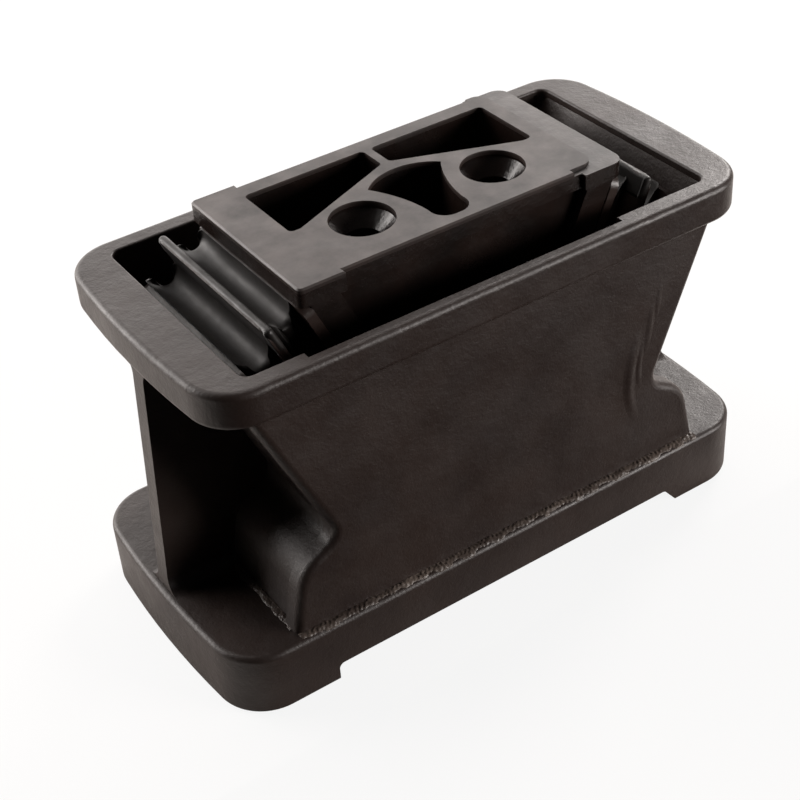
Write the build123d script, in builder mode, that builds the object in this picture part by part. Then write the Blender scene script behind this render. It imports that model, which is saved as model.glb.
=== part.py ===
from build123d import *
import os
from math import atan, cos, sin

# Rubber-sprung pedestal mount, in millimetres.  X runs along the housing, +Z is up, and the origin is
# on the floor under its middle.  A cast housing carries a wedge-shaped bearing block between two
# inclined rubber-and-steel packs, one at each end.

# Housing: overall heights
pad_height = 11.0
base_top = 36.5
floor_top = 30.0
deck_bottom = 165.0
deck_top = 184.0

# Housing: the two flanges, whose ends bulge at mid-width
deck_length, deck_width, deck_corner = 302.0, 147.0, 24.0
base_length, base_width, base_corner = 318.0, 149.0, 26.0
end_bulge = 5.0
deck_edge, base_edge = 3.2, 3.0
pad_inner_x = 104.5
pad_slant = 10.0
pad_root_radius = 3.0

# Housing: hourglass side walls
waist_x, waist_z = 93.2, 82.0
nose_x, nose_z = 115.8, 69.0
foot_x = 121.8
wall_slope = 0.447
tilt = atan(wall_slope)
waist_radius, nose_radius = 9.0, 22.0
wall_foot_y, wall_top_y = 69.5, 67.0
wall_corner = 4.0
end_set_back = 2.0
recess_drop, recess_ease, recess_margin = 1.0, 0.5, 4.0
web_thickness = 10.0
web_inset, web_overlap = 3.4, 4.0
web_root_radius = 8.0
rim_edge = 1.2

# Housing: cavity
opening_length, opening_width, opening_corner = 254.0, 125.0, 5.0
seat_x, seat_z = opening_length / 2, 180.0
ledge_z, ledge_depth = 95.0, 7.0
chamber_x, chamber_z = 106.0, 64.0
chamber_foot_x = 111.0
chamber_shoulder, lip_radius = 8.0, 4.0
rim_relief_start, rim_relief_end = -98.0, 72.0
rim_relief_width, rim_relief_lip, rim_relief_drop = 4.5, 1.0, 9.0
drain_x, drain_radius = 58.0, 9.0

# Rubber packs: depth of each layer, measured in from the seat, and where it starts and ends down it
plate = 5.0
outer_rubber_face = 21.5
interleaf = 4.0
inner_rubber_face = 40.0
wedge_face = inner_rubber_face + plate
outer_plate_span = (11.0, 93.0)
interleaf_span = (-1.5, 92.0)
inner_plate_span = (5.0, 89.0)
outer_plate_width, interleaf_width, inner_plate_width = 98.0, 99.0, 94.0
outer_rubber_y, inner_rubber_y = (-41.5, 47.0), (-38.5, 44.0)
outer_rubber_start, outer_rubber_end = (8.5, 12.0), (90.0, 89.0)
inner_rubber_start, inner_rubber_end = (3.0, 5.0), (89.0, 87.0)
outer_hollow, inner_hollow, rubber_skin = 9.0, 8.0, 1.5
plate_corner, interleaf_edge = 6.0, 1.8
# the interleaf and the rubber beside it start this much further down at the +X end
interleaf_drop = {"left": 0.0, "right": 4.5}

# Locating dowels of the packs
dowel_radius, dowel_play = 4.0, 0.05
dowel_down, dowel_y = 50.0, 26.0
housing_dowel_depth, wedge_dowel_depth, dowel_end_gap = 4.0, 5.0, 0.3

# Bearing block
cap_top = 203.6
cap_bottom = 194.0
cap_length, cap_width = 178.5, 91.0
ear_start, ear_width = 65.5, 96.5
ear_corner, strip_corner = 2.5, 7.0
pad_end_x, pad_front_y, pad_back_y = 75.5, -42.0, 46.5
pad_step, pad_corner, strip_start = 1.8, 6.0, 61.0
cap_edge = 0.8
wedge_bottom = 96.3
wedge_width, wedge_end_width, wedge_end_thickness = 82.0, 93.0, 14.0
wedge_wall = 9.0
block_deck_bottom = 150.0
core_half_width = 31.0
hole_x, hole_y = 36.3, -16.0
bore_radius, bore_lip, bore_angle, bolt_hole_radius = 15.5, 3.6, 90.0, 8.75
pocket_outer_x, pocket_inner_x, pocket_tip_x = 67.5, 2.2, 62.0
pocket_back_y, pocket_inner_y, pocket_front_y = 36.0, 19.5, -5.5
pocket_corner = 2.6
throat_x, throat_y, throat_shoulder_y, throat_crown_y = 20.5, 3.5, 10.3, 12.2
throat_side_x, throat_side_y = 13.4, -11.0
throat_neck_x, throat_neck_y, throat_end_y = 9.6, -28.0, -39.5
throat_end_radius = 8.0

# Overload buffer
buffer_top, buffer_base_radius, buffer_top_radius = 86.0, 28.0, 22.0
buffer_waist_radius, buffer_edge = 21.5, 5.0
seat_plate_radius, seat_plate_thickness, seat_plate_chamfer = 32.0, 4.0, 1.0
stud_radius, stud_hole_radius = 5.0, 5.5
nut_recess_radius, nut_recess_depth = 14.0, 11.0
washer_radius, washer_thickness, washer_play = 10.0, 2.0, 0.25
stud_proud = 0.6
nut_flats, nut_height = 16.0, 8.0

sides = {"left": -1, "right": 1}
# how far a cutting tool runs past the face that it enters or leaves
clear = 1.0


def bowed_plate(length, width, corner, bottom, top, edge):
    """Flange with rounded corners and edges, whose two ends bulge outwards at mid-width."""
    end_x, side_y = length / 2 - end_bulge, width / 2
    with BuildPart() as flange:
        with BuildSketch(Plane.XY.offset(bottom)) as outline:
            with BuildLine():
                Line((-end_x, side_y), (end_x, side_y))
                ThreePointArc((end_x, side_y), (length / 2, 0), (end_x, -side_y))
                Line((end_x, -side_y), (-end_x, -side_y))
                ThreePointArc((-end_x, -side_y), (-length / 2, 0), (-end_x, side_y))
            make_face()
            fillet(outline.vertices(), corner)
        extrude(amount=top - bottom)
        fillet(flange.edges().group_by(Axis.Z)[0], edge)
        fillet(flange.edges().group_by(Axis.Z)[-1], edge)
    return flange.part


def symmetric_slab(points, radii, half_width):
    """Slab about Y = 0 whose XZ outline climbs through points on +X and is mirrored to -X."""
    loop = points + [(-x, z) for x, z in reversed(points)]
    with BuildPart() as slab:
        with BuildSketch(Plane.XZ):
            with BuildLine():
                FilletPolyline(*loop, radius=radii + radii[::-1], close=True)
            make_face()
        extrude(amount=half_width, both=True)
    return slab.part


def slope_x(z, inset=0.0):
    """Half length of the housing's outer slope at height z, moved in by inset square to the slope."""
    return waist_x + wall_slope * (z - waist_z) - inset / cos(tilt)


def seat_plane(side, depth=0.0):
    """Plane depth in from one inclined seat: local X runs down the slope and local Z points inwards."""
    down = Vector(-side * sin(tilt), 0, -cos(tilt))
    inward = Vector(-side * cos(tilt), 0, sin(tilt))
    return Plane(origin=Vector(side * seat_x, 0, seat_z) + inward * depth, x_dir=down, z_dir=inward)


def layer_plane(side):
    """Upright plane across one pack: local X runs down the slope and local Y points inwards."""
    seat = seat_plane(side)
    return Plane(origin=seat.origin, x_dir=seat.x_dir, z_dir=seat.x_dir.cross(seat.z_dir))


def pack_plate(side, depth, thickness, span, width):
    """Flat steel plate of one pack, from span[0] to span[1] down the slope."""
    with BuildPart() as sheet:
        with BuildSketch(seat_plane(side, depth)):
            with Locations(((span[0] + span[1]) / 2, 0)):
                RectangleRounded(span[1] - span[0], width, plate_corner)
        extrude(amount=thickness)
    return sheet.part


def rubber_block(side, faces, starts, ends, sag, span_y):
    """Rubber bonded between the depths in faces, with a hollow upper and lower free surface."""
    near, far = faces
    near_pull, far_pull = near + rubber_skin, far - rubber_skin
    top_pull = sum(starts) / 2 + sag * 4 / 3
    foot_pull = sum(ends) / 2 - sag * 4 / 3
    with BuildPart() as block:
        with BuildSketch(layer_plane(side).offset(side * span_y[0])):
            with BuildLine():
                Line((ends[0], near), (starts[0], near))
                Bezier((starts[0], near), (top_pull, near_pull), (top_pull, far_pull), (starts[1], far))
                Line((starts[1], far), (ends[1], far))
                Bezier((ends[1], far), (foot_pull, far_pull), (foot_pull, near_pull), (ends[0], near))
            make_face()
        extrude(amount=side * (span_y[1] - span_y[0]))
    return block.part


def dowel_pair(side, bottom, top, radius):
    """Two dowels square to one seat, between the depths bottom and top."""
    with BuildPart() as pins:
        with BuildSketch(seat_plane(side, bottom)):
            with Locations((dowel_down, -dowel_y), (dowel_down, dowel_y)):
                Circle(radius)
        extrude(amount=top - bottom)
    return pins.part


# Outer shape of the housing's walls, which run a little way into the base and the deck
buried = 8.0
buried_foot, buried_head = base_top - buried, deck_bottom + buried
foot_lean = (foot_x - nose_x) / (nose_z - base_top)
wall_points = [(foot_x + foot_lean * buried, buried_foot), (nose_x, nose_z)]
wall_points += [(waist_x, waist_z), (slope_x(buried_head), buried_head)]
wall_radii = [0, nose_radius, waist_radius, 0]
with BuildPart() as walls:
    add(symmetric_slab(wall_points, wall_radii, wall_foot_y))
    draft = (wall_foot_y - wall_top_y) / (deck_bottom - base_top)
    with BuildSketch(Plane.YZ):
        with BuildLine():
            low_y = wall_foot_y + draft * buried
            high_y = wall_top_y - draft * buried
            corners = [(-low_y, buried_foot), (low_y, buried_foot), (high_y, buried_head)]
            Polyline(*corners, (-high_y, buried_head), close=True)
        make_face()
    extrude(amount=base_length / 2, both=True, mode=Mode.INTERSECT)
    fillet(walls.faces().sort_by(Axis.Y)[0].edges(), wall_corner)
    fillet(walls.faces().sort_by(Axis.Y)[-1].edges(), wall_corner)

# The end walls stand a little behind the edges of the side walls
far_x = base_length
recess_foot, recess_head = base_top - buried / 2, deck_bottom + buried / 2
recess_points = [(foot_x - end_set_back, recess_foot), (nose_x - end_set_back, nose_z - recess_drop)]
recess_points += [(slope_x(waist_z, end_set_back) + recess_ease, waist_z - recess_drop)]
recess_points += [(slope_x(recess_head, end_set_back), recess_head)]
recess_points += [(far_x, recess_head), (far_x, recess_foot)]
with BuildPart() as end_recess:
    with BuildSketch(Plane.XZ):
        with BuildLine():
            radii = [0, nose_radius, waist_radius, 0, 0, 0]
            FilletPolyline(*recess_points, radius=radii, close=True)
        make_face()
    extrude(amount=opening_width / 2 - recess_margin, both=True)
    mirror(about=Plane.YZ)

# Cavity: inclined seats, a ledge under each, and a wider chamber over the floor
ledge_x = slope_x(ledge_z) - (slope_x(seat_z) - seat_x)
lip_x = ledge_x - ledge_depth * cos(tilt)
cavity_points = [(chamber_foot_x, floor_top), (chamber_x, chamber_z), (lip_x, waist_z)]
cavity_points += [(lip_x, ledge_z + ledge_depth * sin(tilt)), (ledge_x, ledge_z), (seat_x, seat_z)]
cavity_points += [(seat_x, deck_top + clear)]
cavity_radii = [0, chamber_shoulder, lip_radius, 0, 0, 0, 0]
with BuildPart() as cavity:
    add(symmetric_slab(cavity_points, cavity_radii, opening_width / 2))
    upright = cavity.edges().filter_by(Axis.Z).group_by(Axis.Z)[-1]
    fillet(upright, opening_corner)

# Central web at each end, from flange to flange
web_top_x = deck_length / 2 - web_inset
web_foot_x = base_length / 2 - web_inset
web_root_x = waist_x - web_overlap
with BuildPart() as webs:
    with BuildSketch(Plane.XZ):
        with BuildLine():
            corners = [(web_root_x, recess_foot), (web_foot_x, recess_foot), (web_top_x, recess_head)]
            Polyline(*corners, (web_root_x, recess_head), close=True)
        make_face()
    extrude(amount=web_thickness / 2, both=True)
    mirror(about=Plane.YZ)


def on_web(edge):
    """Whether an edge runs along one face of a web."""
    return abs(abs(edge.center().Y) - web_thickness / 2) < 0.1


# housing: one sand casting
with BuildPart() as housing:
    add(walls.part)
    add(end_recess.part, mode=Mode.SUBTRACT)
    add(webs.part)
    add(bowed_plate(deck_length, deck_width, deck_corner, deck_bottom, deck_top, deck_edge))
    add(bowed_plate(base_length, base_width, base_corner, 0, base_top, base_edge))
    # the webs flare into both flanges
    fillet(housing.edges().filter_by(Axis.X).filter_by(on_web), web_root_radius)
    # the base stands on a pad at each end
    with BuildSketch(Plane.XZ):
        with BuildLine():
            FilletPolyline(
                (-pad_inner_x, -clear),
                (-pad_inner_x, pad_height),
                (pad_inner_x - pad_slant / 2, pad_height),
                (pad_inner_x + pad_slant / 2, -clear),
                radius=[0, pad_root_radius, pad_root_radius, 0],
                close=True,
            )
        make_face()
    extrude(amount=base_width, both=True, mode=Mode.SUBTRACT)
    add(cavity.part, mode=Mode.SUBTRACT)
    top_face = housing.faces().filter_by(Axis.Z).sort_by(Axis.Z)[-1]
    fillet(top_face.inner_wires()[0].edges(), rim_edge)
    # the rim is cut back along one long side of the opening
    rim_y = -opening_width / 2
    with BuildSketch(Plane.YZ.offset(rim_relief_start)):
        with BuildLine():
            Polyline(
                (rim_y + clear, deck_top + clear),
                (rim_y - rim_relief_width, deck_top + clear),
                (rim_y - rim_relief_width, deck_top - rim_relief_lip),
                (rim_y + clear, deck_top - rim_relief_drop),
                close=True,
            )
        make_face()
    extrude(amount=rim_relief_end - rim_relief_start, mode=Mode.SUBTRACT)
    for side in sides.values():
        blind_end = -housing_dowel_depth - dowel_end_gap
        add(dowel_pair(side, blind_end, 0, dowel_radius + dowel_play), mode=Mode.SUBTRACT)
    # floor: drain holes, and the buffer stud's hole with a recess for its nut
    with Locations((-drain_x, 0, floor_top), (drain_x, 0, floor_top)):
        Hole(drain_radius, depth=floor_top - pad_height + clear)
    with Locations((0, 0, floor_top)):
        Hole(stud_hole_radius, depth=floor_top - pad_height + clear)
    with Locations((0, 0, pad_height + nut_recess_depth)):
        Hole(nut_recess_radius, depth=nut_recess_depth + clear)
housing.part.label = "housing"

# bearing_block: load cap over a cored wedge
wedge_top_x = seat_x - (seat_z - cap_bottom) * wall_slope - wedge_face / cos(tilt)


def wedge_x(z, inset=0.0):
    """Half length of the bearing block's wedge at height z, moved in by inset square to its face."""
    return wedge_top_x + wall_slope * (z - cap_bottom) - inset / cos(tilt)


def wedge_slab(bottom, top, inset, half_width):
    """Slab of the wedge between two heights, moved in by inset from the inclined faces."""
    points = [(wedge_x(bottom, inset), bottom), (wedge_x(top, inset), top)]
    return symmetric_slab(points, [0, 0], half_width)


with BuildPart() as pockets:
    with BuildSketch(Plane.XY.offset(block_deck_bottom - clear)) as pocket_outlines:
        with BuildLine():
            Polyline(
                (-pocket_outer_x, pocket_back_y),
                (-pocket_outer_x, pocket_front_y),
                (-pocket_tip_x, pocket_front_y),
                (-pocket_inner_x, pocket_inner_y),
                (-pocket_inner_x, pocket_back_y),
                close=True,
            )
        make_face()
        mirror(about=Plane.YZ)
        fillet(pocket_outlines.vertices(), pocket_corner)
    extrude(amount=cap_top - block_deck_bottom + 2 * clear)
    with BuildSketch(Plane.XY.offset(block_deck_bottom - clear)) as throat:
        with BuildLine():
            neck = (throat_neck_x, throat_neck_y)
            tip = (throat_x, throat_y)
            ThreePointArc((0, throat_crown_y), (throat_x / 2, throat_shoulder_y), tip)
            ThreePointArc(tip, (throat_side_x, throat_side_y), neck)
            Line(neck, (throat_neck_x, throat_end_y))
            Line((throat_neck_x, throat_end_y), (0, throat_end_y))
            mirror(about=Plane.YZ)
        make_face()
        fillet(throat.vertices().group_by(Axis.Y)[0], throat_end_radius)
    extrude(amount=cap_top - block_deck_bottom + 2 * clear)
    add(wedge_slab(block_deck_bottom - clear, cap_top + clear, wedge_wall, cap_width), mode=Mode.INTERSECT)

with BuildPart() as flank_cuts:
    add(wedge_slab(wedge_bottom - clear, cap_bottom, wedge_end_thickness, wedge_end_width))
    flank_half = wedge_width / 2
    add(wedge_slab(wedge_bottom - clear, cap_bottom, wedge_end_thickness, flank_half), mode=Mode.SUBTRACT)

with BuildPart() as bearing_block:
    add(wedge_slab(wedge_bottom, cap_bottom, 0, wedge_end_width / 2))
    add(flank_cuts.part, mode=Mode.SUBTRACT)
    with BuildSketch(Plane.XY.offset(cap_bottom)) as cap_outline:
        Rectangle(cap_length, cap_width)
        ear_length = cap_length / 2 - ear_start
        ear_middle = ear_start + ear_length / 2
        with Locations((-ear_middle, 0), (ear_middle, 0)):
            Rectangle(ear_length, ear_width)
        fillet(cap_outline.vertices().group_by(Axis.X)[0], ear_corner)
        fillet(cap_outline.vertices().group_by(Axis.X)[-1], strip_corner)
    extrude(amount=cap_top - cap_bottom)
    chamfer(bearing_block.faces().sort_by(Axis.Z)[-1].edges(), cap_edge)
    # the load pad stands proud of the strip at its +X end
    with BuildSketch(Plane.XY.offset(cap_top - pad_step)):
        with Locations((cap_length / 2, 0)):
            Rectangle(2 * (cap_length / 2 - strip_start), ear_width + 2 * clear)
        with Locations((0, (pad_back_y + pad_front_y) / 2)):
            RectangleRounded(2 * pad_end_x, pad_back_y - pad_front_y, pad_corner, mode=Mode.SUBTRACT)
    extrude(amount=pad_step + clear, mode=Mode.SUBTRACT)
    add(pockets.part, mode=Mode.SUBTRACT)
    # the bolt holes have a conical seat below a short straight lip
    seat_top = cap_top - bore_lip
    with Locations((-hole_x, hole_y, seat_top), (hole_x, hole_y, seat_top)):
        CounterSinkHole(bolt_hole_radius, bore_radius, seat_top - block_deck_bottom + clear, bore_angle)
    # the wedge is cored out from below
    add(wedge_slab(wedge_bottom - clear, block_deck_bottom, wedge_wall, core_half_width), mode=Mode.SUBTRACT)
    for side in sides.values():
        blind_end = wedge_face + wedge_dowel_depth + dowel_end_gap
        add(dowel_pair(side, wedge_face, blind_end, dowel_radius + dowel_play), mode=Mode.SUBTRACT)
bearing_block.part.label = "bearing_block"

# Rubber packs, from the housing's seat inwards: plate, rubber, interleaf, rubber, plate
packs = {}
for name, side in sides.items():
    drop = interleaf_drop[name]
    with BuildPart() as outer_plate:
        add(pack_plate(side, 0, plate, outer_plate_span, outer_plate_width))
        add(dowel_pair(side, 0, plate, dowel_radius + dowel_play), mode=Mode.SUBTRACT)
    packs[f"outer_plate_{name}"] = outer_plate.part

    with BuildPart() as interleaf_plate:
        span = (interleaf_span[0] + drop, interleaf_span[1])
        add(pack_plate(side, outer_rubber_face, interleaf, span, interleaf_width))
        fillet(interleaf_plate.edges().filter_by(Axis.Y).group_by(Axis.Z)[-1], interleaf_edge)
    packs[f"interleaf_plate_{name}"] = interleaf_plate.part

    with BuildPart() as inner_plate:
        add(pack_plate(side, inner_rubber_face, plate, inner_plate_span, inner_plate_width))
        add(dowel_pair(side, inner_rubber_face, wedge_face, dowel_radius + dowel_play), mode=Mode.SUBTRACT)
    packs[f"inner_plate_{name}"] = inner_plate.part

    with BuildPart() as outer_rubber:
        faces = (plate, outer_rubber_face)
        starts = (outer_rubber_start[0], outer_rubber_start[1] + drop)
        add(rubber_block(side, faces, starts, outer_rubber_end, outer_hollow, outer_rubber_y))
    packs[f"outer_rubber_{name}"] = outer_rubber.part

    with BuildPart() as inner_rubber:
        faces = (outer_rubber_face + interleaf, inner_rubber_face)
        starts = (inner_rubber_start[0] + drop, inner_rubber_start[1])
        add(rubber_block(side, faces, starts, inner_rubber_end, inner_hollow, inner_rubber_y))
    packs[f"inner_rubber_{name}"] = inner_rubber.part

    with BuildPart() as outer_dowels:
        add(dowel_pair(side, -housing_dowel_depth, plate, dowel_radius))
    packs[f"outer_dowels_{name}"] = outer_dowels.part

    with BuildPart() as inner_dowels:
        add(dowel_pair(side, inner_rubber_face, wedge_face + wedge_dowel_depth, dowel_radius))
    packs[f"inner_dowels_{name}"] = inner_dowels.part

# buffer_seat: steel disc that the overload buffer is bonded to
with BuildPart() as buffer_seat:
    with BuildSketch(Plane.XY.offset(floor_top)):
        Circle(seat_plate_radius)
        Circle(stud_radius + dowel_play, mode=Mode.SUBTRACT)
    extrude(amount=seat_plate_thickness)
    chamfer(buffer_seat.edges().group_by(Axis.Z)[-1].sort_by(SortBy.LENGTH)[-1], seat_plate_chamfer)
buffer_seat.part.label = "buffer_seat"

# overload_buffer: tapered rubber stop under the bearing block
with BuildPart() as overload_buffer:
    with BuildSketch(Plane.XZ) as half_section:
        with BuildLine():
            foot_z = floor_top + seat_plate_thickness
            waist = (buffer_waist_radius, (foot_z + buffer_top) / 2)
            Line((0, foot_z), (buffer_base_radius, foot_z))
            ThreePointArc((buffer_base_radius, foot_z), waist, (buffer_top_radius, buffer_top))
            Line((buffer_top_radius, buffer_top), (0, buffer_top))
            Line((0, buffer_top), (0, foot_z))
        make_face()
    revolve(axis=Axis.Z)
    fillet(overload_buffer.edges().group_by(Axis.Z)[-1], buffer_edge)
overload_buffer.part.label = "overload_buffer"

# buffer_stud: welded into the disc, through the floor
nut_seat = pad_height + nut_recess_depth
stud_end = nut_seat - washer_thickness - nut_height - stud_proud
with BuildPart() as buffer_stud:
    with BuildSketch(Plane.XY.offset(stud_end)):
        Circle(stud_radius)
    extrude(amount=floor_top + seat_plate_thickness - stud_end)
    chamfer(buffer_stud.edges().group_by(Axis.Z)[0], stud_proud)
buffer_stud.part.label = "buffer_stud"

# buffer_washer and buffer_nut: in the recess under the floor
with BuildPart() as buffer_washer:
    with BuildSketch(Plane.XY.offset(nut_seat - washer_thickness)):
        Circle(washer_radius)
        Circle(stud_radius + washer_play, mode=Mode.SUBTRACT)
    extrude(amount=washer_thickness)
buffer_washer.part.label = "buffer_washer"

with BuildPart() as buffer_nut:
    with BuildSketch(Plane.XY.offset(nut_seat - washer_thickness - nut_height)):
        RegularPolygon(nut_flats / 2, 6, major_radius=False)
        Circle(stud_radius + dowel_play, mode=Mode.SUBTRACT)
    extrude(amount=nut_height)
buffer_nut.part.label = "buffer_nut"

os.makedirs("parts", exist_ok=True)
for node, part in packs.items():
    part.label = node
    export_step(part, f"parts/{node}.step")
for part in (housing.part, bearing_block.part, buffer_seat.part, overload_buffer.part):
    export_step(part, f"parts/{part.label}.step")
for part in (buffer_stud.part, buffer_washer.part, buffer_nut.part):
    export_step(part, f"parts/{part.label}.step")
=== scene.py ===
import math

import bpy
import numpy as np
from bpy.props import FloatProperty, FloatVectorProperty, PointerProperty, StringProperty
from bpy.types import Operator, Panel, PropertyGroup
from mathutils import Matrix, Vector


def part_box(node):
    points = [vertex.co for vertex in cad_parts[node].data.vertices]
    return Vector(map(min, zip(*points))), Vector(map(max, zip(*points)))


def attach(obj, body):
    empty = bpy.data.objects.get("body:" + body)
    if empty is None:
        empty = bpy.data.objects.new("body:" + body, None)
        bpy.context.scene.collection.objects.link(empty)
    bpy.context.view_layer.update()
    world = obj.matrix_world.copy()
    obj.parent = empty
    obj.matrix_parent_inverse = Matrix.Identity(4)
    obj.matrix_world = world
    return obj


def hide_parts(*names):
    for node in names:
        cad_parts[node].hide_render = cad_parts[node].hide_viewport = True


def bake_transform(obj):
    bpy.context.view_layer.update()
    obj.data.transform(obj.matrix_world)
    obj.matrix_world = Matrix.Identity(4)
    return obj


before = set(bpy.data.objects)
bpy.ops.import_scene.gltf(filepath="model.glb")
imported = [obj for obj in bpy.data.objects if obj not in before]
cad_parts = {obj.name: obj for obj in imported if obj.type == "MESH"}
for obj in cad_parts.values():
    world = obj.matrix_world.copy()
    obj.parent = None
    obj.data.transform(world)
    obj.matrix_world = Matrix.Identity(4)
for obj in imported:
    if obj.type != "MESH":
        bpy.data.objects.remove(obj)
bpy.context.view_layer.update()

bl_info = {
    "name": "Rubber-sprung pedestal mount",
    "version": (1, 0, 0),
    "blender": (4, 5, 0),
    "location": "3D View > Sidebar > Pedestal mount",
    "description": "Surface finish, rubber blocks, casting marks and studio for a pedestal mount",
    "category": "Object",
}

MM = 0.001

SEAT_TOP = Vector((127.0, 0.0, 180.0)) * MM
SEAT_LEAN = math.atan(0.447)
SIDES = {"left": -1, "right": 1}
# the housing's side walls: half width at their foot, height of the foot, and how much they lean in
WALL_FOOT_Y, BASE_TOP = 69.5 * MM, 36.5 * MM
WALL_DRAFT = 2.5 / 128.5
# depths off the seat, in mm, of the outer plate's face, the interleaf's two faces and the inner plate's
OUTER_FACE, INTERLEAF_OUT, INTERLEAF_IN, INNER_FACE = 5.0, 21.5, 25.5, 40.0
# how much further down the slope each interleaf plate starts, in mm
RIDGE_DROP = {"left": 0.0, "right": 4.5}

# worn cap of the bearing block: where the paint is thin and where it is thick
RUBBED_THIN, RUBBED_THICK = "#3a312e", "#1f1816"
BLOOMED_RUBBER = "#23201e"
ZINC, GROUND_STEEL, BRIGHT_STEEL = "#8f8d84", "#7d7d7d", "#b9b7ae"
FLOCK = "#0a0a0a"


# ---------------------------------------------------------------- colour and nodes


def linear(code):
    """The linear RGBA of an sRGB hex colour."""
    values = [int(code.lstrip("#")[i:i + 2], 16) / 255 for i in (0, 2, 4)]
    return [v / 12.92 if v <= 0.04045 else ((v + 0.055) / 1.055) ** 2.4 for v in values] + [1.0]


def grey(value):
    """A neutral colour that carries a number."""
    return (value, value, value, 1.0)


def add_node(tree, kind, values=None, links=None, **settings):
    """One shader node with its settings, its socket values and its incoming links."""
    made = tree.nodes.new(kind)
    for name, value in settings.items():
        setattr(made, name, value)
    for socket, value in (values or {}).items():
        made.inputs[socket].default_value = value
    for socket, source in (links or {}).items():
        tree.links.new(source, made.inputs[socket])
    return made


def new_material(name):
    """An empty node material: (material, its tree, its surface output)."""
    material = bpy.data.materials.new(name)
    material.use_nodes = True
    tree = material.node_tree
    tree.nodes.clear()
    output = tree.nodes.new("ShaderNodeOutputMaterial")
    return material, tree, output


def drift(tree, place, width, detail, fineness, *ranges):
    """Colours that drift together between two ends, in blotches about width mm across.

    Each range is its two ends as (pattern value, RGBA), and gives one colour.
    """
    values = {"Scale": 1.0 / (width * MM), "Detail": detail, "Roughness": fineness}
    blotches = add_node(tree, "ShaderNodeTexNoise", values, {"Vector": place})
    colours = []
    for ends in ranges:
        made = add_node(tree, "ShaderNodeValToRGB", links={"Fac": blotches.outputs["Fac"]})
        for element, (position, colour) in zip(made.color_ramp.elements, ends):
            element.position = position
            element.color = colour
        colours.append(made.outputs["Color"])
    return colours


def relief(tree, place, layers, normal=None):
    """The normal of a skin with one layer of bumps on another, over an earlier normal if there is one.

    Each layer is (width in mm, detail, fineness, height in mm, strength).
    """
    for width, detail, fineness, height, strength in layers:
        values = {"Scale": 1.0 / (width * MM), "Detail": detail, "Roughness": fineness}
        links = {"Height": add_node(tree, "ShaderNodeTexNoise", values, {"Vector": place}).outputs["Fac"]}
        if normal is not None:
            links["Normal"] = normal
        values = {"Distance": height * MM, "Strength": strength}
        normal = add_node(tree, "ShaderNodeBump", values, links).outputs["Normal"]
    return normal


# ---------------------------------------------------------------- materials


def enamel_on_cast_iron(name, dark, light, grain, grain_height, gloss, worn_levels=()):
    """Grey cast iron, sand cast and sprayed with a black enamel.

    The sand leaves a fine grain and soft waves under the paint, and the paint pools and dulls in patches.
    worn_levels are two heights in metres: above the first, half of the paint is rubbed dull and pale by what
    has stood on it, and above the second, all of it.
    """
    material, tree, output = new_material(name)
    place = add_node(tree, "ShaderNodeTexCoord").outputs["Object"]
    base, = drift(tree, place, 38.0, 3.0, 0.55, ((0.3, linear(dark)), (0.72, linear(light))))
    speck_share, = drift(tree, place, 1.6, 4.0, 0.65, ((0.55, grey(0.0)), (0.75, grey(0.35))))
    colour = add_node(
        tree, "ShaderNodeMix", {"B": linear(light)}, {"Factor": speck_share, "A": base}, data_type="RGBA"
    ).outputs["Result"]
    dulling = (26.0, 5.0, 0.65)
    roughness, = drift(tree, place, *dulling, ((0.35, grey(gloss - 0.04)), (0.65, grey(gloss + 0.06))))
    waves = relief(tree, place, [(17.0, 1.0, 0.4, 0.9, 0.45)])
    normal = relief(tree, place, [(4.2, 2.0, 0.6, 0.3, 0.75), (grain, 3.0, 0.6, grain_height, 0.9)], waves)
    if worn_levels:
        height = add_node(tree, "ShaderNodeSeparateXYZ", links={"Vector": place}).outputs["Z"]
        first, second = (
            add_node(tree, "ShaderNodeMath", {1: level}, {0: height}, operation="GREATER_THAN")
            for level in worn_levels
        )
        links = {0: first.outputs["Value"], 1: second.outputs["Value"]}
        both = add_node(tree, "ShaderNodeMath", links=links, operation="ADD")
        worn = add_node(
            tree, "ShaderNodeMath", {1: 0.5}, {0: both.outputs["Value"]}, operation="MULTIPLY"
        ).outputs["Value"]
        # what rubs the cap slides along X, so the scuffs are long that way
        brushed = add_node(tree, "ShaderNodeMapping", {"Scale": (0.12, 1.0, 1.0)}, {"Vector": place})
        scuffs = relief(tree, brushed.outputs["Vector"], [(1.4, 3.0, 0.6, 0.03, 0.6)], waves)
        rubbed, dull = drift(
            tree, place, *dulling,
            ((0.35, linear(RUBBED_THIN)), (0.65, linear(RUBBED_THICK))),
            ((0.35, grey(gloss + 0.16)), (0.65, grey(gloss + 0.30))),
        )
        colour, roughness, normal = (
            add_node(
                tree, "ShaderNodeMix", links={"Factor": worn, "A": fresh, "B": used}, data_type=data_type
            ).outputs["Result"]
            for fresh, used, data_type in (
                (colour, rubbed, "RGBA"), (roughness, dull, "RGBA"), (normal, scuffs, "VECTOR")
            )
        )
    shader = add_node(
        tree, "ShaderNodeBsdfPrincipled", {"IOR": 1.45, "Metallic": 0.0},
        {"Base Color": colour, "Roughness": roughness, "Normal": normal},
    )
    tree.links.new(shader.outputs["BSDF"], output.inputs["Surface"])
    return material


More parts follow.
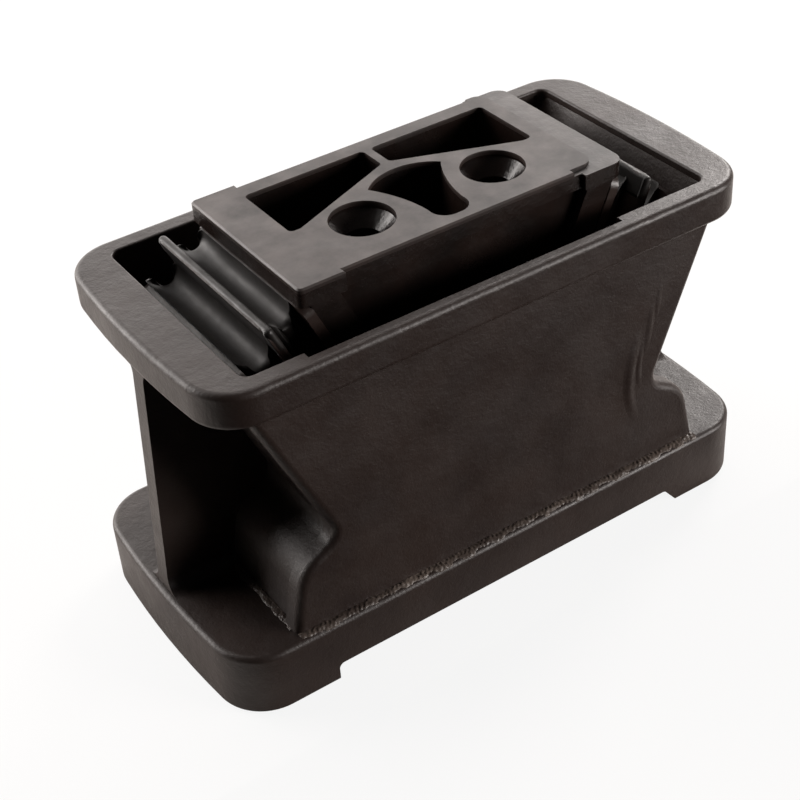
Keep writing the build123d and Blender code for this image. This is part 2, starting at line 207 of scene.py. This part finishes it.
def moulded_rubber(name, colour, gloss):
    """Black natural rubber, compression moulded, which has a soft sheen and fine mould marks."""
    material, tree, output = new_material(name)
    place = add_node(tree, "ShaderNodeTexCoord").outputs["Object"]
    base, = drift(tree, place, 24.0, 3.0, 0.6, ((0.35, linear(colour)), (0.8, linear(BLOOMED_RUBBER))))
    roughness, = drift(tree, place, 6.0, 2.0, 0.5, ((0.3, grey(gloss - 0.05)), (0.75, grey(gloss + 0.08))))
    # soft waves, and the fine marks of the mould's face
    normal = relief(tree, place, [(8.0, 2.0, 0.5, 0.5, 0.35), (0.9, 2.0, 0.6, 0.05, 0.6)])
    shader = add_node(
        tree, "ShaderNodeBsdfPrincipled", {"IOR": 1.42, "Metallic": 0.0},
        {"Base Color": base, "Roughness": roughness, "Normal": normal},
    )
    tree.links.new(shader.outputs["BSDF"], output.inputs["Surface"])
    return material


def turned_steel(name, colour, ring_width, gloss):
    """Plated or turned steel, whose fine tool marks run round it and spread its highlights."""
    material, tree, output = new_material(name)
    place = add_node(tree, "ShaderNodeTexCoord").outputs["Object"]
    stretched = add_node(tree, "ShaderNodeMapping", {"Scale": (1.0, 1.0, 6.0)}, {"Vector": place})
    normal = relief(tree, stretched.outputs["Vector"], [(ring_width, 3.0, 0.6, 0.05, 0.5)])
    base, roughness = drift(
        tree, place, 5.0, 2.0, 0.5,
        ((0.3, linear(colour)), (0.8, linear(BRIGHT_STEEL))), ((0.3, grey(gloss)), (0.8, grey(gloss + 0.15))),
    )
    shader = add_node(
        tree, "ShaderNodeBsdfPrincipled", {"Metallic": 1.0},
        {"Base Color": base, "Roughness": roughness, "Normal": normal},
    )
    tree.links.new(shader.outputs["BSDF"], output.inputs["Surface"])
    return material


def lit_backdrop(name, colour, bounce, glow):
    """White paper lit from below, which hides all but a trace of shadow and throws little light back up."""
    material, tree, output = new_material(name)
    paper = add_node(
        tree, "ShaderNodeBsdfPrincipled",
        {"Base Color": linear(bounce), "Roughness": 0.9, "Specular IOR Level": 0.1},
    )
    lit = add_node(tree, "ShaderNodeEmission", {"Color": linear(colour), "Strength": 1.0})
    seen = add_node(tree, "ShaderNodeLightPath").outputs["Is Camera Ray"]
    share = add_node(tree, "ShaderNodeMath", {1: glow}, {0: seen}, operation="MULTIPLY").outputs["Value"]
    both = add_node(
        tree, "ShaderNodeMixShader", links={0: share, 1: paper.outputs["BSDF"], 2: lit.outputs["Emission"]}
    )
    tree.links.new(both.outputs["Shader"], output.inputs["Surface"])
    return material


def dress(node, material):
    """Gives a CAD node one material over its whole surface."""
    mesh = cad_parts[node].data
    mesh.materials.clear()
    mesh.materials.append(material)


# ---------------------------------------------------------------- surfaces


def closed_tube(name, rings, material):
    """A closed surface through rings of points, an array of (ring, point, xyz), with a pole at each end.

    Point (i, j) joins (i, j + 1), wrapping round, and (i + 1, j); each end ring joins its own centre.
    """
    count, around = rings.shape[:2]
    points = np.concatenate([rings.reshape(-1, 3), rings[:1].mean(1), rings[-1:].mean(1)])
    i, j = np.meshgrid(np.arange(count - 1), np.arange(around), indexing="ij")
    after = (j + 1) % around
    quads = np.stack([i * around + j, i * around + after, (i + 1) * around + after, (i + 1) * around + j], -1)
    quads = quads.reshape(-1, 4)
    j = np.arange(around)
    after = (j + 1) % around
    low_pole, high_pole = count * around, count * around + 1
    base = (count - 1) * around
    low_cap = np.stack([after, j, np.full(around, low_pole)], -1)
    high_cap = np.stack([base + j, base + after, np.full(around, high_pole)], -1)
    caps = np.concatenate([low_cap, high_cap])
    if signed_volume(points, quads, caps) < 0:
        quads, caps = quads[:, ::-1], caps[:, ::-1]
    mesh = bpy.data.meshes.new(name)
    mesh.from_pydata(points.tolist(), [], quads.tolist() + caps.tolist())
    mesh.polygons.foreach_set("use_smooth", np.ones(len(mesh.polygons), bool))
    mesh.materials.append(material)
    mesh.update()
    piece = bpy.data.objects.new(name, mesh)
    bpy.context.scene.collection.objects.link(piece)
    return piece


def signed_volume(points, quads, caps):
    """Volume inside the faces: the sum over triangles of a . (b x c) / 6, above zero if they face out."""
    triangles = np.concatenate([quads[:, [0, 1, 2]], quads[:, [0, 2, 3]], caps])
    a, b, c = (points[triangles[:, k]] for k in range(3))
    return float(np.einsum("ij,ij->i", a, np.cross(b, c)).sum() / 6)


def bezier(a, b, c, d, t):
    """Points at t on the cubic with end points a and d and pull points b and c."""
    t = t[:, None]
    a, b, c, d = (np.asarray(p, float) for p in (a, b, c, d))
    return a * (1 - t) ** 3 + 3 * b * t * (1 - t) ** 2 + 3 * c * t ** 2 * (1 - t) + d * t ** 3


def straight(a, b, steps):
    """Points from a towards b, without b."""
    t = np.linspace(0, 1, steps, endpoint=False)[:, None]
    return np.asarray(a, float) * (1 - t) + np.asarray(b, float) * t


def pack_point(side, depth, down, across):
    """Points of one pack in the shared frame, from their depth off the seat, way down the slope and Y.

    Position = seat top + down x (slope direction) + depth x (inward square to the slope), in metres.
    """
    sin_lean, cos_lean = math.sin(SEAT_LEAN), math.cos(SEAT_LEAN)
    x = side * (SEAT_TOP.x - down * sin_lean - depth * cos_lean)
    z = SEAT_TOP.z - down * cos_lean + depth * sin_lean
    return np.stack([x, across + 0 * x, z], -1)


def uneven(points, size, height, seed):
    """Random unevenness about size mm across and height mm deep: a sum of sines of the place.

    Height = sum of sin(k . p + phase) / sqrt(waves / 2), over 40 waves whose directions are spread over the
    sphere and whose lengths run from 0.6 to 1.8 of size, all drawn from the seed.
    """
    waves = 40
    draw = np.random.default_rng(seed)
    direction = draw.normal(size=(waves, 3))
    direction /= np.linalg.norm(direction, axis=1)[:, None]
    length = size * MM * draw.uniform(0.6, 1.8, waves)
    phase = draw.uniform(0, 2 * math.pi, waves)
    angle = points @ (direction * (2 * math.pi / length)[:, None]).T + phase
    return np.sin(angle).sum(-1) * height * MM / math.sqrt(waves / 2)


# ---------------------------------------------------------------- settings


class MountCastingSettings(PropertyGroup):
    """Paint and cast marks of the iron parts."""
    dark_paint: StringProperty(name="Dark paint", description="Paint where it is thick", default="#1f1613")
    light_paint: StringProperty(name="Light paint", description="Paint where it is thin", default="#281e1a")
    block_paint: StringProperty(name="Block paint", description="Paint on the block", default="#0d0a09")
    # painted highlight: the pale end of the foot ledges' colour stands in for the light that their flat rough
    # tops reflect
    ledge_highlight_paint: StringProperty(name="Painted ledge highlight", description="Paint on the rough skin", default="#5e544d")
    gloss: FloatProperty(
        name="Paint roughness", description="Mean roughness of the housing", subtype="FACTOR",
        default=0.46, min=0.0, max=1.0,
    )
    grain: FloatProperty(
        name="Sand grain", description="Width of a grain, drawn coarser than the sand so that it shows",
        default=1.3 * MM, unit="LENGTH", min=0.2 * MM,
    )
    ledge: FloatProperty(
        name="Foot ledge", description="How far the rough ledge at the walls' foot stands out",
        default=4.3 * MM, unit="LENGTH", min=0.0,
    )


class MountRubberSettings(PropertyGroup):
    """Shape and colour of the rubber."""
    colour: StringProperty(name="Rubber", description="Colour of clean rubber", default="#120f0e")
    gloss: FloatProperty(
        name="Rubber roughness", description="Mean roughness of the layers", subtype="FACTOR",
        default=0.52, min=0.0, max=1.0,
    )
    hollow: FloatProperty(
        name="End hollow", description="How far the rubber's ends draw in between the plates",
        default=3.0 * MM, unit="LENGTH", min=0.0,
    )
    rounding: FloatProperty(
        name="End rounding", description="Radius where the free surfaces turn into the ends",
        default=3.5 * MM, unit="LENGTH", min=0.0,
    )


class MountStudioSettings(PropertyGroup):
    """Camera and light."""
    place: FloatVectorProperty(
        name="Camera place", description="Where the camera stands", size=3, subtype="TRANSLATION",
        unit="LENGTH", default=(-0.35649, -0.55708, 0.57717),
    )
    turn: FloatProperty(
        name="Camera turn", description="Round Z from the front", subtype="ANGLE",
        default=math.radians(-31.591),
    )
    height: FloatProperty(
        name="Camera height", description="Angle above level", subtype="ANGLE", default=math.radians(37.161)
    )
    roll: FloatProperty(
        name="Camera roll", description="Turn about the view", subtype="ANGLE", default=math.radians(-4.365)
    )
    lens: FloatProperty(name="Lens", description="Focal length", subtype="DISTANCE_CAMERA", default=73.37)
    floor: StringProperty(name="Backdrop", description="Colour of the floor", default="#ffffff")
    bounce: StringProperty(name="Bounce", description="Colour the floor throws back", default="#dedad6")
    glow: FloatProperty(
        name="Glow", description="How far the backdrop hides shadows", subtype="FACTOR",
        default=0.88, min=0.0, max=1.0,
    )
    light: FloatVectorProperty(
        name="Light colour", description="Tint of the lamps", size=3, subtype="COLOR",
        default=(1.0, 0.95, 0.92),
    )


# ---------------------------------------------------------------- operators


class MOUNT_OT_castings(Operator):
    """Paint the housing and the bearing block"""
    bl_idname = "mount.castings"
    bl_label = "Painted castings"

    def execute(self, context):
        look = context.scene.mount_casting
        grain, gloss = look.grain / MM, look.gloss
        iron = enamel_on_cast_iron(
            "satin_black_enamel_on_sand_cast_iron", look.dark_paint, look.light_paint, grain, 0.16, gloss
        )
        # the block was dipped, so its sides are a deep gloss black, and only the cap's top is worn dull:
        # half of the way on the strip at its right end, and all of the way on the pad
        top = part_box("bearing_block")[1].z
        dipped = enamel_on_cast_iron(
            "gloss_black_enamel_on_fettled_cast_iron", look.block_paint, look.dark_paint, grain, 0.07,
            gloss - 0.22, worn_levels=(top - 2.4 * MM, top - 0.9 * MM),
        )
        dress("housing", iron)
        dress("bearing_block", dipped)
        return {"FINISHED"}


class MOUNT_OT_steel(Operator):
    """Finish the steel plates, dowels and stop fixings"""
    bl_idname = "mount.steel"
    bl_label = "Steel plates and fixings"

    def execute(self, context):
        look = context.scene.mount_casting
        primed = enamel_on_cast_iron(
            "black_bonding_primer_on_steel_plate", look.dark_paint, look.light_paint, 0.8, 0.04, 0.36
        )
        zinc = turned_steel("zinc_plated_steel", ZINC, 0.6, 0.28)
        ground = turned_steel("ground_dowel_steel", GROUND_STEEL, 0.4, 0.22)
        for side in SIDES:
            for name in ("outer_plate", "interleaf_plate", "inner_plate"):
                dress(f"{name}_{side}", primed)
            for name in ("outer_dowels", "inner_dowels"):
                dress(f"{name}_{side}", ground)
        for name in ("buffer_stud", "buffer_washer", "buffer_nut"):
            dress(name, zinc)
        dress("buffer_seat", primed)
        return {"FINISHED"}


class MOUNT_OT_rubber(Operator):
    """Make the bonded rubber layers between the plates"""
    bl_idname = "mount.rubber"
    bl_label = "Rubber layers"

    # layer: (near depth, far depth), upper start at each, lower end at each, sag, (front Y, back Y), and
    # how much of the interleaf's drop reaches each upper start; all in mm but the last
    outer, inner = (OUTER_FACE, INTERLEAF_OUT), (INTERLEAF_IN, INNER_FACE)
    layers = {
        "outer_rubber": (outer, (8.5, 12.0), (90.0, 89.0), 9.0, (-41.5, 47.0), (0.0, 1.0)),
        "inner_rubber": (inner, (3.0, 5.0), (89.0, 87.0), 8.0, (-38.5, 44.0), (1.0, 0.0)),
    }
    # how thick the rubber is where it runs out on a plate, in mm
    skin = 1.5
    # the depths between which, and the way down the slope at which, the real rubber shears, in mm
    shear_from, shear_to, shear_down = OUTER_FACE, INNER_FACE + 1.5, 45.0

    def outline(self, depths, starts, ends, sag):
        """The layer's section as (depth, down) points.

        It runs up the near plate, along the upper hollow, down the far plate and back along the lower
        hollow. Each hollow is a cubic whose pull points lie 4/3 of the sag in from the middle of its ends.
        """
        near, far = depths
        near_pull, far_pull = near + self.skin, far - self.skin
        top_pull, foot_pull = sum(starts) / 2 + sag * 4 / 3, sum(ends) / 2 - sag * 4 / 3
        t = np.linspace(0, 1, 40, endpoint=False)
        top = bezier((near, starts[0]), (near_pull, top_pull), (far_pull, top_pull), (far, starts[1]), t)
        foot = bezier((far, ends[1]), (far_pull, foot_pull), (near_pull, foot_pull), (near, ends[0]), t)
        up = straight((near, ends[0]), (near, starts[0]), 24)
        down = straight((far, starts[1]), (far, ends[1]), 24)
        return np.concatenate([up, top, down, foot]) * MM

    def layer(self, look, side, outline, span):
        """The layer's rings: its outline drawn along Y, shrunk round the edge and closed by hollow ends.

        Near an end the outline shrinks towards its middle by r(1 - cos a) while Y runs on by r sin a, and
        the end face draws in by hollow x (1 - share^2), share being its distance out from the middle.
        """
        middle = outline.mean(0)
        half = (span[1] - span[0]) * MM / 2
        reach = np.abs(outline - middle).max(0)
        angle = np.linspace(math.pi / 2, 0, 10)[:, None]
        edge_y = half - look.rounding + look.rounding * np.sin(angle)
        edge_scale = 1 - (look.rounding * (1 - np.cos(angle))) / reach
        share = np.linspace(0.06, 1, 14, endpoint=False)[:, None]
        cap_scale = share * edge_scale[:1]
        cap_y = half - look.hollow * (1 - share ** 2)
        body_y = np.linspace(half - look.rounding, 0, 30, endpoint=False)[1:, None]
        scale = np.concatenate([cap_scale, edge_scale, np.ones((len(body_y), 2))])
        across = np.concatenate([cap_y, edge_y, body_y])
        scale = np.concatenate([scale, np.ones((1, 2)), scale[::-1]])
        across = np.concatenate([across, np.zeros((1, 1)), -across[::-1]])
        section = middle + (outline - middle)[None] * scale[:, None]
        return pack_point(side, section[..., 0], section[..., 1], across + (span[0] + span[1]) * MM / 2)

    def execute(self, context):
        look = context.scene.mount_rubber
        rubber = moulded_rubber("moulded_natural_rubber", look.colour, look.gloss)
        for side, sign in SIDES.items():
            for name, (depths, starts, ends, sag, span, drop_share) in self.layers.items():
                starts = starts + np.array(drop_share) * RIDGE_DROP[side]
                rings = self.layer(look, sign, self.outline(depths, starts, ends, sag), span)
                piece = closed_tube(f"{name}_moulding_{side}", rings, rubber)
                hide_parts(f"{name}_{side}")
                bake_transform(piece)
        return {"FINISHED"}


class MOUNT_OT_ridges(Operator):
    """Make the rubber-skinned upper edge of each interleaf plate"""
    bl_idname = "mount.ridges"
    bl_label = "Interleaf ridges"

    # the skinned plate: half its thickness, half its width and its middle's depth in the pack
    half_thick, half_width, middle = 2.25 * MM, 49.7 * MM, (INTERLEAF_OUT + INTERLEAF_IN) / 2 * MM
    # how far down the slope the left crest and both feet are
    crest_down, foot_down = -1.8 * MM, 14.0 * MM

    def ridge(self, side, drop):
        """Rings of a slab with a half-round crest, whose foot is lost in the rubber on both sides.

        The section is drawn along Y, and at each end it shrinks about its centre by sin a across the plate
        and by 0.6 + 0.4 sin a along it, while Y runs on by half the thickness x cos a.
        """
        top = self.crest_down + drop
        reach = self.half_width - self.half_thick
        turn = np.linspace(0.02, math.pi / 2, 9)
        shrink = np.concatenate([np.sin(turn), np.ones(160), np.sin(turn)[::-1]])
        tip = self.half_thick * np.cos(turn)
        across = np.concatenate([-reach - tip, np.linspace(-reach, reach, 160), reach + tip[::-1]])
        scale = np.stack([shrink, 0.6 + 0.4 * shrink], -1)
        right = (self.middle + self.half_thick, self.foot_down)
        left = (self.middle - self.half_thick, self.foot_down)
        angle = np.linspace(math.pi, 0, 17)
        crest = self.half_thick * np.stack([np.cos(angle), 1 - np.sin(angle)], -1) + (self.middle, top)
        rest = [straight(crest[-1], right, 8)[1:], straight(right, left, 6), straight(left, crest[0], 8)]
        outline = np.concatenate([crest, *rest])
        centre = np.array([self.middle, top + 2 * self.half_thick])
        section = centre + (outline - centre)[None] * scale[:, None]
        return pack_point(side, section[..., 0], section[..., 1], across[:, None])

    def execute(self, context):
        look = context.scene.mount_rubber
        rubber = moulded_rubber("thin_rubber_skin_on_steel", look.colour, look.gloss - 0.05)
        for side, sign in SIDES.items():
            rings = self.ridge(sign, RIDGE_DROP[side] * MM)
            # the crest waves along its length, and hardly at all across it
            rings[..., 2] += uneven(rings * (0.2, 1.0, 0.2), 14.0, 0.10, sign + 5)
            piece = closed_tube(f"interleaf_ridge_{side}", rings, rubber)
            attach(piece, f"interleaf_{side}")
        return {"FINISHED"}


class MOUNT_OT_stop(Operator):
    """Make the rubber overload stop"""
    bl_idname = "mount.stop"
    bl_label = "Overload stop"

    # radii: the crown's, what the side is pulled in to, the shoulder's round, and the ends' first ring
    crown, pull, shoulder, flat = 22.0 * MM, 18.3 * MM, 5.0 * MM, 2.0 * MM
    # mould split line: how proud it stands, and its half width as the sine of an angle round the stop
    seam_height, seam_width = 0.3 * MM, 0.03

    def stop(self, low, high):
        """Rings of a solid of revolution about Z.

        Its radius goes up the side as base (1 - t)^2 + 2 pull t (1 - t) + crown t^2, then round a
        quarter-circle shoulder, and the seam adds height x exp(-(sin(turn) / width)^2) on two sides.
        """
        base = high.x
        t = np.linspace(0, 1, 40)
        side_r = base * (1 - t) ** 2 + 2 * self.pull * t * (1 - t) + self.crown * t ** 2
        side_z = low.z + (high.z - self.shoulder - low.z) * t
        angle = np.linspace(0, math.pi / 2, 12)[1:]
        shoulder_r = self.crown - self.shoulder * (1 - np.cos(angle))
        shoulder_z = high.z - self.shoulder * (1 - np.sin(angle))
        radius = np.concatenate([[self.flat, base - self.flat], side_r, shoulder_r, [self.flat]])[:, None]
        height = np.concatenate([[low.z, low.z], side_z, shoulder_z, [high.z]])[:, None]
        turn = np.linspace(0, 2 * math.pi, 96, endpoint=False)
        seam = self.seam_height * np.exp(-(np.sin(turn) / self.seam_width) ** 2)
        # the seam leaves the middle of both ends alone and stays within the foot's radius
        spread = (radius + seam * (radius > 5 * self.flat)).clip(max=base)
        return np.stack([spread * np.cos(turn), spread * np.sin(turn), height + 0 * spread], -1)

    def execute(self, context):
        look = context.scene.mount_rubber
        rubber = moulded_rubber("moulded_stop_rubber", look.colour, look.gloss + 0.06)
        piece = closed_tube("overload_stop_moulding", self.stop(*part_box("overload_buffer")), rubber)
        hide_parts("overload_buffer")
        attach(piece, "pedestal")
        return {"FINISHED"}


class MOUNT_OT_ledges(Operator):
    """Make the rough cast ledges where the walls meet the base"""
    bl_idname = "mount.ledges"
    bl_label = "Rough cast ledges"

    # half length of the side ledges, where they and the end ledges start, and the end ledges' span in Y
    half_length, wall_y, end_x = 121.0 * MM, WALL_FOOT_Y - 0.2 * MM, 119.4 * MM
    end_span = (9.0 * MM, 64.0 * MM)
    # roughness of the mound: its sizes, and its heights sideways and upwards at each, in mm
    sizes, sideways, upwards = (2.0, 6.0), (0.05, 0.10), (0.10, 0.12)

    def ledge(self, path, outward, reach, rise, seed):
        """Rings of a low rough mound along path, which lies in the corner between the wall and the base.

        Its section runs out by reach at the height cos(pi/2 x share out) - 1.3 x share^5, times rise, so
        that it bends down over the base's edge; under it the section turns back below the base and into the
        wall. Only the points in the open are roughened, and the reach itself wanders by about 6%.
        """
        share = np.linspace(1, 0, 16)
        top = np.stack([share, np.cos(math.pi / 2 * share) - 1.3 * share ** 5], -1)
        section = np.concatenate([top, [[-0.1, 1.0], [-0.1, -2.0], [0.5, -2.0], [0.9, -2.0]]])
        out, up = section[:, 0], section[:, 1]
        open_air = ((out > 0) & (up > -1.5))[None, :, None]
        spread = reach * (1 + uneven(path, 9.0, 0.06 / MM, seed))[:, None]
        rings = path[:, None] + outward * (out * spread)[..., None]
        rings[..., 2] += up * rise
        rough = [
            sum(uneven(rings, self.sizes[i], heights[i], first + i) for i in range(len(heights)))[..., None]
            for heights, first in ((self.sideways, seed + 1), (self.upwards, seed + 3))
        ]
        rings += open_air * (outward * rough[0] + np.array([0, 0, 1]) * rough[1])
        return rings

    def execute(self, context):
        look = context.scene.mount_casting
        # the ledges are painted paler than the housing as a painted highlight for the light their flat tops
        # catch; only their rough cast skin is real
        rough = enamel_on_cast_iron(
            "rough_cast_skin_with_painted_highlight", look.light_paint, look.ledge_highlight_paint, look.grain / MM, 0.12,
            look.gloss - 0.02,
        )
        runs = []
        for name, sign in (("front", -1), ("back", 1)):
            x = np.linspace(-self.half_length, self.half_length, 1400)
            path = np.stack([x, np.full_like(x, sign * self.wall_y), np.full_like(x, BASE_TOP)], -1)
            runs.append((f"side_ledge_{name}", path, (0.0, sign, 0.0)))
            for side, end in SIDES.items():
                y = np.linspace(*self.end_span, 320) * sign
                path = np.stack([np.full_like(y, end * self.end_x), y, np.full_like(y, BASE_TOP)], -1)
                runs.append((f"end_ledge_{side}_{name}", path, (end, 0.0, 0.0)))
        for number, (name, path, outward) in enumerate(runs):
            rings = self.ledge(path, np.array(outward), look.ledge, 0.2 * look.ledge, 10 * number)
            piece = closed_tube(name, rings, rough)
            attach(piece, "pedestal")
        return {"FINISHED"}


class MOUNT_OT_flow_marks(Operator):
    """Make the soft creases that the iron left on the front wall as it ran together in the mould"""
    bl_idname = "mount.flow_marks"
    bl_label = "Flow marks"

    # each mark: points of its line on the wall as (x, z), half width and height, in mm
    marks = (
        (((85.0, 120.0), (78.0, 100.0), (73.0, 82.0), (84.0, 62.0)), 5.0, 1.1),
        (((88.0, 112.0), (83.5, 101.0), (82.0, 90.0), (86.0, 80.0)), 3.0, 0.5),
        (((93.0, 132.0), (91.0, 124.0), (90.0, 112.0), (87.0, 100.0)), 3.5, 0.6),
        (((98.0, 142.0), (95.5, 134.0), (95.5, 126.0), (94.0, 118.0)), 3.0, 0.45),
    )
    # how far a mark's rim sinks below the wall's face, and how deep in the wall its back lies
    sink, back_depth = 0.12 * MM, 1.5 * MM

    def mark(self, line, half_width, height):
        """Rings of a low ridge along a cubic on the wall.

        Its height is height x exp(-(share across x 1.8)^2) x sin(pi x share along), less a sink that takes
        its rim below the wall's face, and its back lies inside the wall.
        """
        share = np.linspace(0, 1, 60)
        middle = bezier(*line, share) * MM
        along = np.gradient(middle, axis=0)
        along /= np.linalg.norm(along, axis=1)[:, None]
        square = np.stack([-along[:, 1], along[:, 0]], -1)
        across = np.linspace(-1, 1, 17)
        flat = middle[:, None] + square[:, None] * (across * half_width * MM)[None, :, None]
        crest = np.exp(-(across * 1.8) ** 2)[None] * np.sin(math.pi * share)[:, None]
        rise = height * MM * crest - self.sink
        x, z = flat[..., 0], flat[..., 1]
        face = -WALL_FOOT_Y + WALL_DRAFT * (z - BASE_TOP)
        top = np.stack([x, face - rise, z], -1)
        back = np.stack([x, face + self.back_depth, z], -1)[:, ::-1]
        return np.concatenate([top, back], 1)

    def execute(self, context):
        iron = bpy.data.materials["satin_black_enamel_on_sand_cast_iron"]
        for number, (line, half_width, height) in enumerate(self.marks):
            piece = closed_tube(f"flow_mark_{number + 1}", self.mark(line, half_width, height), iron)
            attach(piece, "pedestal")
        return {"FINISHED"}


class MOUNT_OT_stage(Operator):
    """Make the floor, the lights and the camera"""
    bl_idname = "mount.stage"
    bl_label = "Studio"

    floor_reach = 6.0
    # black card: near edge, far edge, half width and height over the floor
    card_near, card_far, card_half, card_lift = -0.1, -2.2, 1.6, 1.0 * MM
    # how strongly the far wall shines on the mount, and how pale it looks beyond that
    wall_light, wall_glow = 0.02, 0.86
    # lamp: place, what it is turned to, (width, height) and power in watts
    middle = (0.0, 0.0, 0.1)
    lamps = {
        "back_wall": ((0.2, 2.2, 1.0), (0.0, 0.0, 0.6), (4.0, 2.0), 82.0),
        "key_softbox": ((-1.2, 1.3, 1.0), middle, (1.1, 1.1), 26.0),
        "low_left_softbox": ((-1.5, 1.8, 0.4), middle, (1.2, 0.6), 25.0),
        "overhead_softbox": ((0.1, 0.35, 1.6), middle, (1.2, 0.6), 7.0),
        "front_right_fill": ((1.5, -1.8, 0.55), middle, (1.2, 0.8), 72.0),
        "right_softbox": ((1.6, 0.8, 1.1), middle, (0.7, 0.7), 36.0),
    }

    def sheet(self, name, x_span, y_span, z, material):
        """A flat sheet of the stage between two X, two Y and at one height."""
        (x0, x1), (y0, y1) = x_span, y_span
        mesh = bpy.data.meshes.new(name)
        mesh.from_pydata([(x0, y0, z), (x1, y0, z), (x1, y1, z), (x0, y1, z)], [], [(0, 1, 2, 3)])
        mesh.materials.append(material)
        piece = bpy.data.objects.new(name, mesh)
        bpy.context.scene.collection.objects.link(piece)
        return piece

    def floor_and_card(self, look):
        """The floor, and a black card on it in front of the mount, unseen, which keeps what faces it dark."""
        reach = (-self.floor_reach, self.floor_reach)
        paper = lit_backdrop("white_paper_backdrop", look.floor, look.bounce, look.glow)
        self.sheet("floor", reach, reach, 0.0, paper)
        flock, tree, output = new_material("black_flock_card")
        shader = add_node(tree, "ShaderNodeBsdfDiffuse", {"Color": linear(FLOCK)})
        tree.links.new(shader.outputs["BSDF"], output.inputs["Surface"])
        width, depth = (-self.card_half, self.card_half), (self.card_far, self.card_near)
        card = self.sheet("black_card", width, depth, self.card_lift, flock)
        card.visible_camera = False
        card.visible_shadow = False

    def far_wall(self, scene):
        """A far wall that looks as pale as the far floor, but throws hardly any light."""
        world = bpy.data.worlds.new("studio")
        world.use_nodes = True
        tree = world.node_tree
        background = tree.nodes["Background"]
        background.inputs["Color"].default_value = grey(1.0)
        seen = add_node(tree, "ShaderNodeLightPath").outputs["Is Camera Ray"]
        values = {1: self.wall_glow, 2: self.wall_light}
        strength = add_node(tree, "ShaderNodeMath", values, {0: seen}, operation="MULTIPLY_ADD")
        tree.links.new(strength.outputs["Value"], background.inputs["Strength"])
        scene.world = world

    def lamp(self, name, colour, place, aim, size, power):
        """A soft light of that width and height at place, turned to aim."""
        data = bpy.data.lights.new(name, "AREA")
        data.shape = "RECTANGLE"
        data.size, data.size_y = size
        data.energy = power
        data.color = colour
        lamp = bpy.data.objects.new(name, data)
        lamp.location = place
        lamp.rotation_euler = (Vector(aim) - Vector(place)).to_track_quat("-Z", "Y").to_euler()
        bpy.context.scene.collection.objects.link(lamp)

    def camera(self, look, scene):
        """The camera, turned round Z, lifted and rolled by the angles in look."""
        turn, height, roll = look.turn, look.height, look.roll
        level_share = math.cos(height)
        back = Vector((math.sin(turn) * level_share, -math.cos(turn) * level_share, math.sin(height)))
        level = Vector((0, 0, 1)).cross(back).normalized()
        upright = back.cross(level)
        right = level * math.cos(roll) + upright * math.sin(roll)
        up = upright * math.cos(roll) - level * math.sin(roll)
        camera = bpy.data.objects.new("camera", bpy.data.cameras.new("camera"))
        camera.data.lens = look.lens
        camera.data.sensor_width = 36.0
        camera.data.clip_end = 20.0
        turned = Matrix((right, up, back)).transposed()
        camera.matrix_world = Matrix.Translation(Vector(look.place)) @ turned.to_4x4()
        scene.collection.objects.link(camera)
        scene.camera = camera
        scene.view_settings.view_transform = "Standard"

    def execute(self, context):
        look = context.scene.mount_studio
        self.floor_and_card(look)
        self.far_wall(context.scene)
        for name, settings in self.lamps.items():
            self.lamp(name, look.light, *settings)
        self.camera(look, context.scene)
        return {"FINISHED"}


class MOUNT_PT_panel(Panel):
    """The mount's operators, in the order they run"""
    bl_idname = "MOUNT_PT_panel"
    bl_label = "Pedestal mount"
    bl_space_type = "VIEW_3D"
    bl_region_type = "UI"
    bl_category = "Pedestal mount"

    def draw(self, context):
        for operator in OPERATORS:
            self.layout.operator(operator.bl_idname)


SETTINGS = {
    "mount_casting": MountCastingSettings,
    "mount_rubber": MountRubberSettings,
    "mount_studio": MountStudioSettings,
}
OPERATORS = (
    MOUNT_OT_castings, MOUNT_OT_steel, MOUNT_OT_rubber, MOUNT_OT_ridges, MOUNT_OT_stop, MOUNT_OT_ledges,
    MOUNT_OT_flow_marks, MOUNT_OT_stage,
)


def register():
    for name, group in SETTINGS.items():
        bpy.utils.register_class(group)
        setattr(bpy.types.Scene, name, PointerProperty(type=group))
    for operator in OPERATORS:
        bpy.utils.register_class(operator)
    bpy.utils.register_class(MOUNT_PT_panel)


def unregister():
    bpy.utils.unregister_class(MOUNT_PT_panel)
    for operator in reversed(OPERATORS):
        bpy.utils.unregister_class(operator)
    for name, group in SETTINGS.items():
        delattr(bpy.types.Scene, name)
        bpy.utils.unregister_class(group)


def main():
    """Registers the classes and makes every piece."""
    register()
    bpy.ops.mount.castings()
    bpy.ops.mount.steel()
    bpy.ops.mount.rubber()
    bpy.ops.mount.ridges()
    bpy.ops.mount.stop()
    bpy.ops.mount.ledges()
    bpy.ops.mount.flow_marks()
    bpy.ops.mount.stage()


if __name__ == "__main__":
    main()
